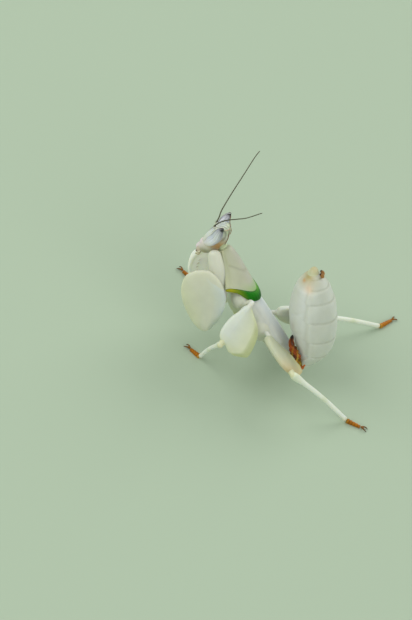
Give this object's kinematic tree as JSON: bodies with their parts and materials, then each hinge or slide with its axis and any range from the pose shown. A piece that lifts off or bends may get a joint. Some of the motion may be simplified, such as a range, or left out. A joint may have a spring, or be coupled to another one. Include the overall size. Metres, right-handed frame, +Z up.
{
  "type": "insect model",
  "caption": "Life-size still model of a white petal-legged orchid mantis nymph with a green collar and an upturned abdomen, standing on a floor.",
  "frame": {"origin": "centre of the model's footprint, on the floor that its feet stand on", "axes": "the head points to -X, the animal's left side faces -Y, and +Z is up"},
  "size_m": [0.0436, 0.034, 0.0334],
  "materials": {
    "cuticle": "ivory white cuticle, waxy and slightly translucent",
    "petal_lobe": "thin yellowish white petal-like leg lobes, satin",
    "collar": "smooth deep green band running to yellow-green at its ends",
    "eye": "smooth lilac grey with fine lengthwise streaks and a dark tip",
    "foot": "orange-brown, hard and slightly shiny",
    "mark": "dark red-brown to olive, knobbly and shiny",
    "feeler": "dark olive thread"
  },
  "bodies": {
    "root": {"abdomen_base": "cuticle", "abdomen_middle": "cuticle", "abdomen_tip": "cuticle", "antenna_left": "feeler", "antenna_right": "feeler", "cercus_left": "foot", "cercus_right": "foot", "claws_hind_left": "foot", "claws_hind_right": "foot", "claws_middle_left": "foot", "claws_middle_right": "foot", "collar": "collar", "coxa_hind_left": "cuticle", "coxa_hind_right": "cuticle", "coxa_middle_left": "cuticle", "coxa_middle_right": "cuticle", "eye_left": "eye", "eye_right": "eye", "femur_hind_left": "petal_lobe", "femur_hind_right": "petal_lobe", "femur_middle_left": "petal_lobe", "femur_middle_right": "petal_lobe", "fore_coxa_left": "cuticle", "fore_coxa_right": "cuticle", "fore_femur_left": "cuticle", "fore_femur_right": "cuticle", "fore_tarsus_left": "foot", "fore_tarsus_right": "foot", "fore_tibia_left": "cuticle", "fore_tibia_right": "cuticle", "head": "cuticle", "mesothorax": "cuticle", "metathorax": "cuticle", "mouthparts": "cuticle", "neck": "cuticle", "pronotum": "cuticle", "tarsus_hind_left": "foot", "tarsus_hind_right": "foot", "tarsus_middle_left": "foot", "tarsus_middle_right": "foot", "tibia_hind_left": "cuticle", "tibia_hind_right": "cuticle", "tibia_middle_left": "cuticle", "tibia_middle_right": "cuticle", "waist_mark_left": "mark", "waist_mark_right": "mark"}
  },
  "joints": []
}
